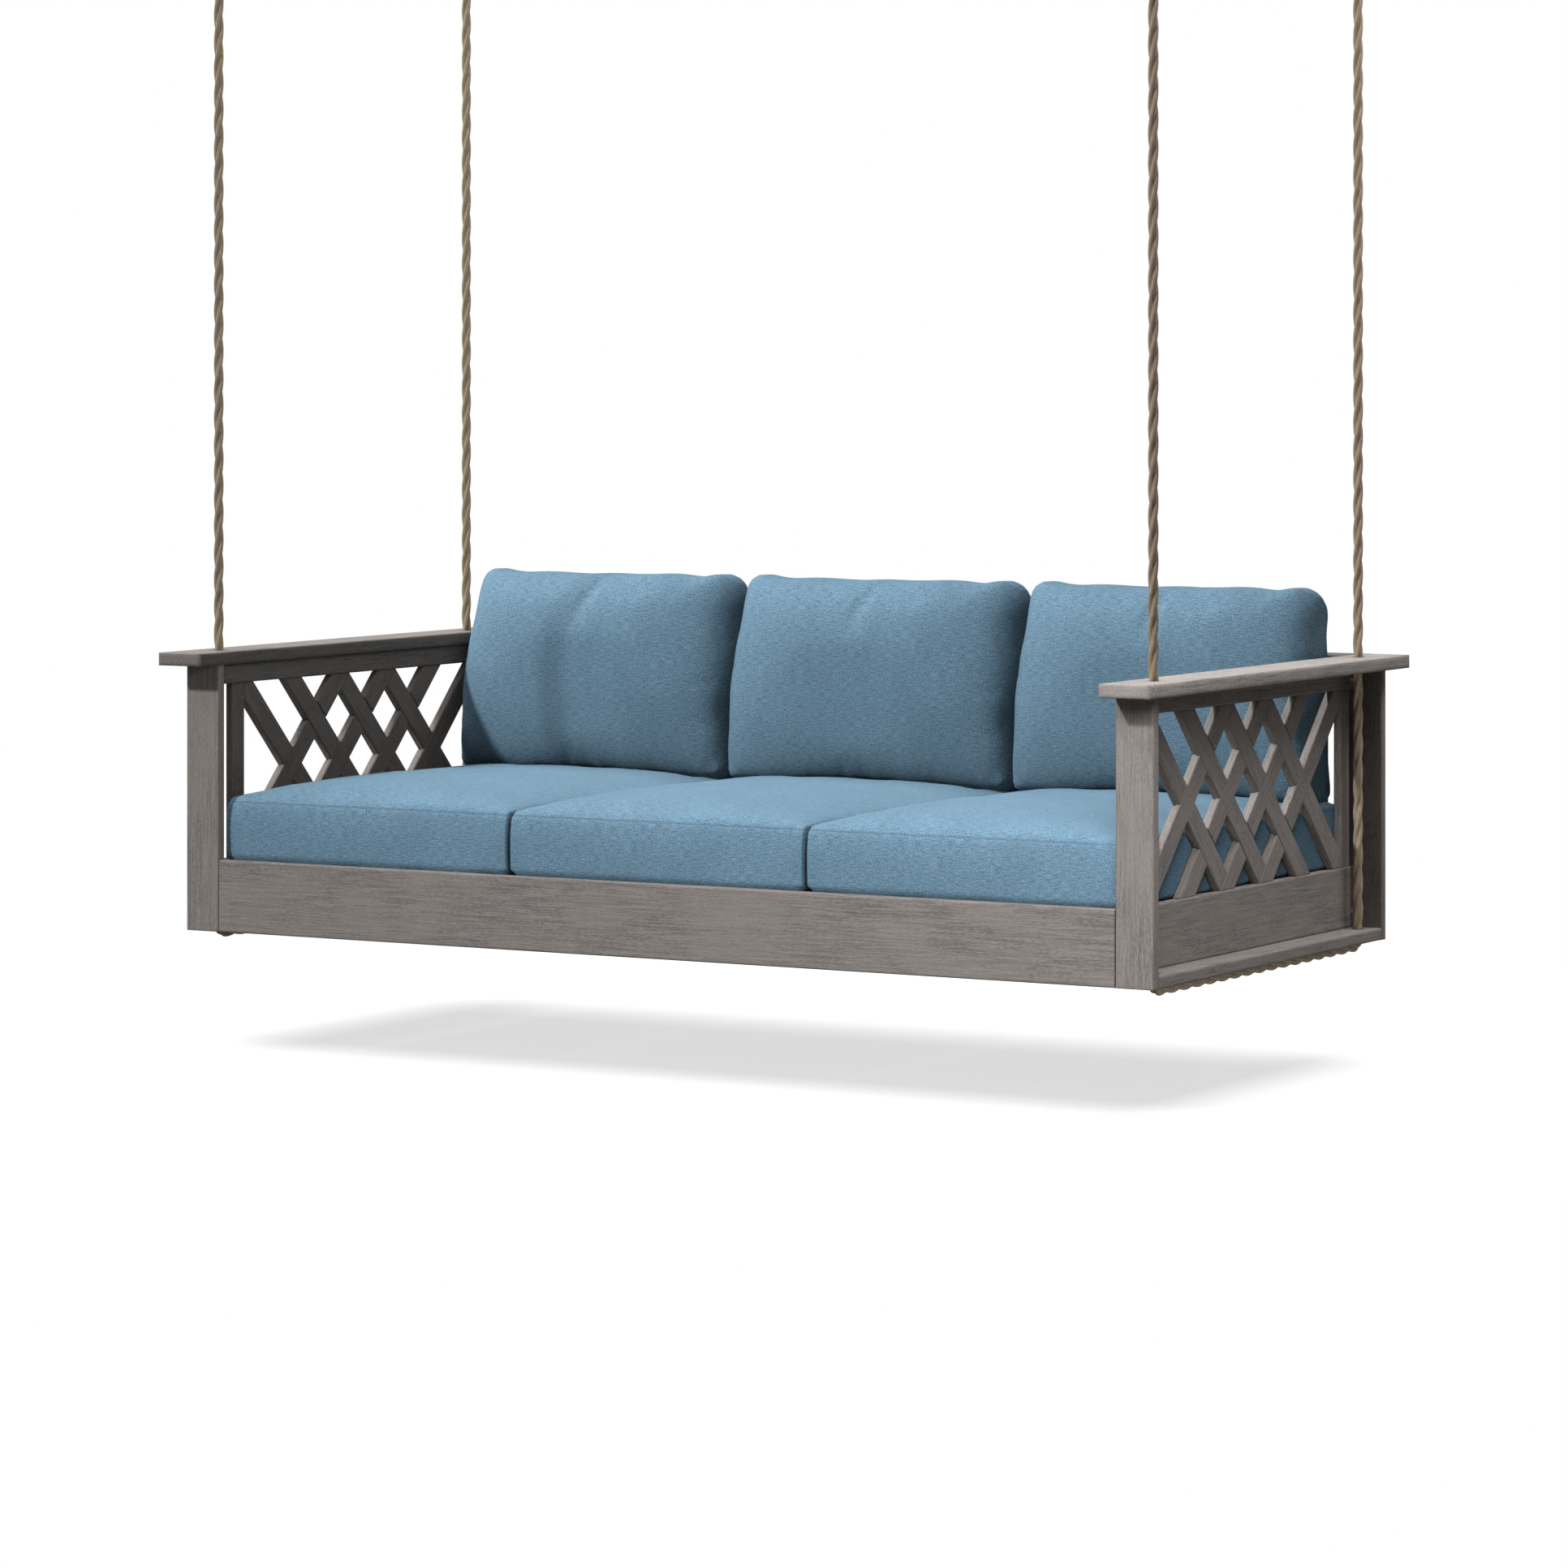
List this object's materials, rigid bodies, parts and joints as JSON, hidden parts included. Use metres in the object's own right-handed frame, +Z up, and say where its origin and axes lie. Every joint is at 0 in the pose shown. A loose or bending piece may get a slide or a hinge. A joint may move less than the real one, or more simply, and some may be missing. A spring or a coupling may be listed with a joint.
{
  "type": "hanging daybed swing",
  "caption": "Rope-hung daybed with woven lattice sides and back, wide arms, a slatted seat frame and loose cushions.",
  "frame": {"origin": "on the ceiling plane, midway between the four ropes", "axes": "+X along the bed towards its right-hand end seen from the front, +Y from the front to the back, +Z up into the ceiling"},
  "size_m": [2.147, 1.14, 2.0593],
  "materials": {
    "lumber": "weathered grey-brown boards with a fine brushed grain along each board, satin",
    "hidden_lumber": "the same boards, plain, under the cushions",
    "canvas": "dusty blue woven outdoor canvas with fine pale cross threads, matt",
    "rope": "tan three-strand laid rope, slightly fibrous",
    "twine": "waxed twine wound tightly round the rope",
    "galvanised_steel": "galvanised, dull silver"
  },
  "bodies": {
    "ceiling": {"front_left_bracket": "galvanised_steel", "front_right_bracket": "galvanised_steel", "back_left_bracket": "galvanised_steel", "back_right_bracket": "galvanised_steel", "bracket_bolts": "galvanised_steel", "bracket_nuts": "galvanised_steel"},
    "front_ropes": {"front_left_rope": "rope", "front_right_rope": "rope", "front_rope_eyes": "rope", "front_thimbles": "galvanised_steel", "front_whippings": "twine"},
    "back_ropes": {"back_left_rope": "rope", "back_right_rope": "rope", "back_rope_eyes": "rope", "back_thimbles": "galvanised_steel", "back_whippings": "twine"},
    "bed": {"front_rail": "lumber", "back_bottom_rail": "lumber", "back_top_rail": "lumber", "back_cap": "lumber", "front_left_post": "lumber", "front_right_post": "lumber", "back_left_post": "lumber", "back_right_post": "lumber", "left_arm": "lumber", "right_arm": "lumber", "left_base_board": "lumber", "right_base_board": "lumber", "left_bottom_rail": "lumber", "right_bottom_rail": "lumber", "left_top_rail": "lumber", "right_top_rail": "lumber", "left_front_stile": "lumber", "left_back_stile": "lumber", "right_front_stile": "lumber", "right_back_stile": "lumber", "left_rising_slats": "lumber", "left_falling_slats": "lumber", "right_rising_slats": "lumber", "right_falling_slats": "lumber", "back_left_stile": "lumber", "back_right_stile": "lumber", "back_rising_slats": "lumber", "back_falling_slats": "lumber", "front_ledger": "hidden_lumber", "back_ledger": "hidden_lumber", "corner_cleats": "hidden_lumber", "centre_bearer": "hidden_lumber", "seat_slats": "hidden_lumber", "seat_screws": "galvanised_steel", "back_rail_screws": "galvanised_steel", "left_seat_cushion": "canvas", "middle_seat_cushion": "canvas", "right_seat_cushion": "canvas", "left_back_cushion": "canvas", "middle_back_cushion": "canvas", "right_back_cushion": "canvas", "left_under_rope": "rope", "right_under_rope": "rope"}
  },
  "joints": [
    {"name": "front_rope_swing", "type": "hinge", "parent": "ceiling", "child": "front_ropes", "pos_m": [0, -0.444, -0.042], "axis": [1, 0, 0], "range_deg": [-15, 15]},
    {"name": "bed_level", "type": "hinge", "parent": "front_ropes", "child": "bed", "pos_m": [0, -0.444, -1.496], "axis": [1, 0, 0], "range_deg": [-15, 15]},
    {"name": "back_rope_swing", "type": "hinge", "parent": "ceiling", "child": "back_ropes", "pos_m": [0, 0.444, -0.042], "axis": [1, 0, 0], "range_deg": [-15, 15]}
  ],
  "couplings": [
    {"joint": "bed_level", "follows": "front_rope_swing", "ratio": -1},
    {"joint": "back_rope_swing", "follows": "front_rope_swing", "ratio": 1}
  ]
}
